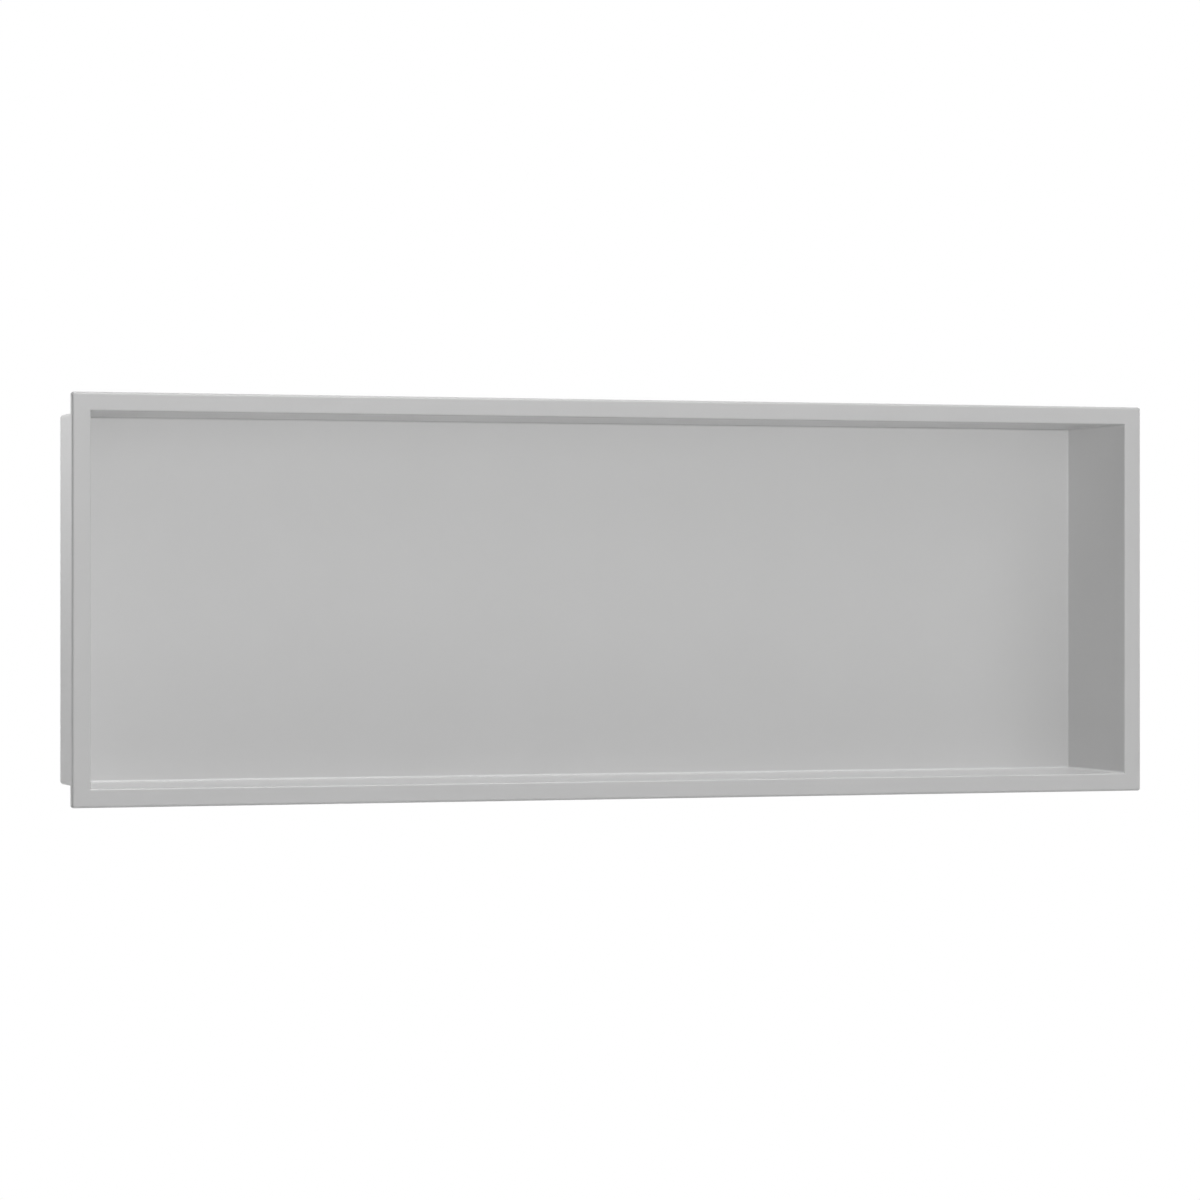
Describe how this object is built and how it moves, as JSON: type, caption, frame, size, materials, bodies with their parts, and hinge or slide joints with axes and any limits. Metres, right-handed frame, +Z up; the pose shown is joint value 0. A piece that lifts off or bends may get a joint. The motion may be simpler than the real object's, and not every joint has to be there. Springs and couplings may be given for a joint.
{
  "type": "shower niche insert",
  "caption": "Recessed shower niche: a shallow open steel tray with a narrow flat frame round its mouth, let into a wall as a shelf for bottles.",
  "frame": {"origin": "centre of the niche in the plane of the finished wall face, where the cut edge of the frame's rim rests", "axes": "+X along the width, +Y into the wall, +Z up; the mouth faces -Y"},
  "size_m": [0.928, 0.1137, 0.328],
  "materials": {
    "powder_coated_steel": "satin"
  },
  "bodies": {
    "root": {"niche_insert": "powder_coated_steel"}
  },
  "joints": []
}
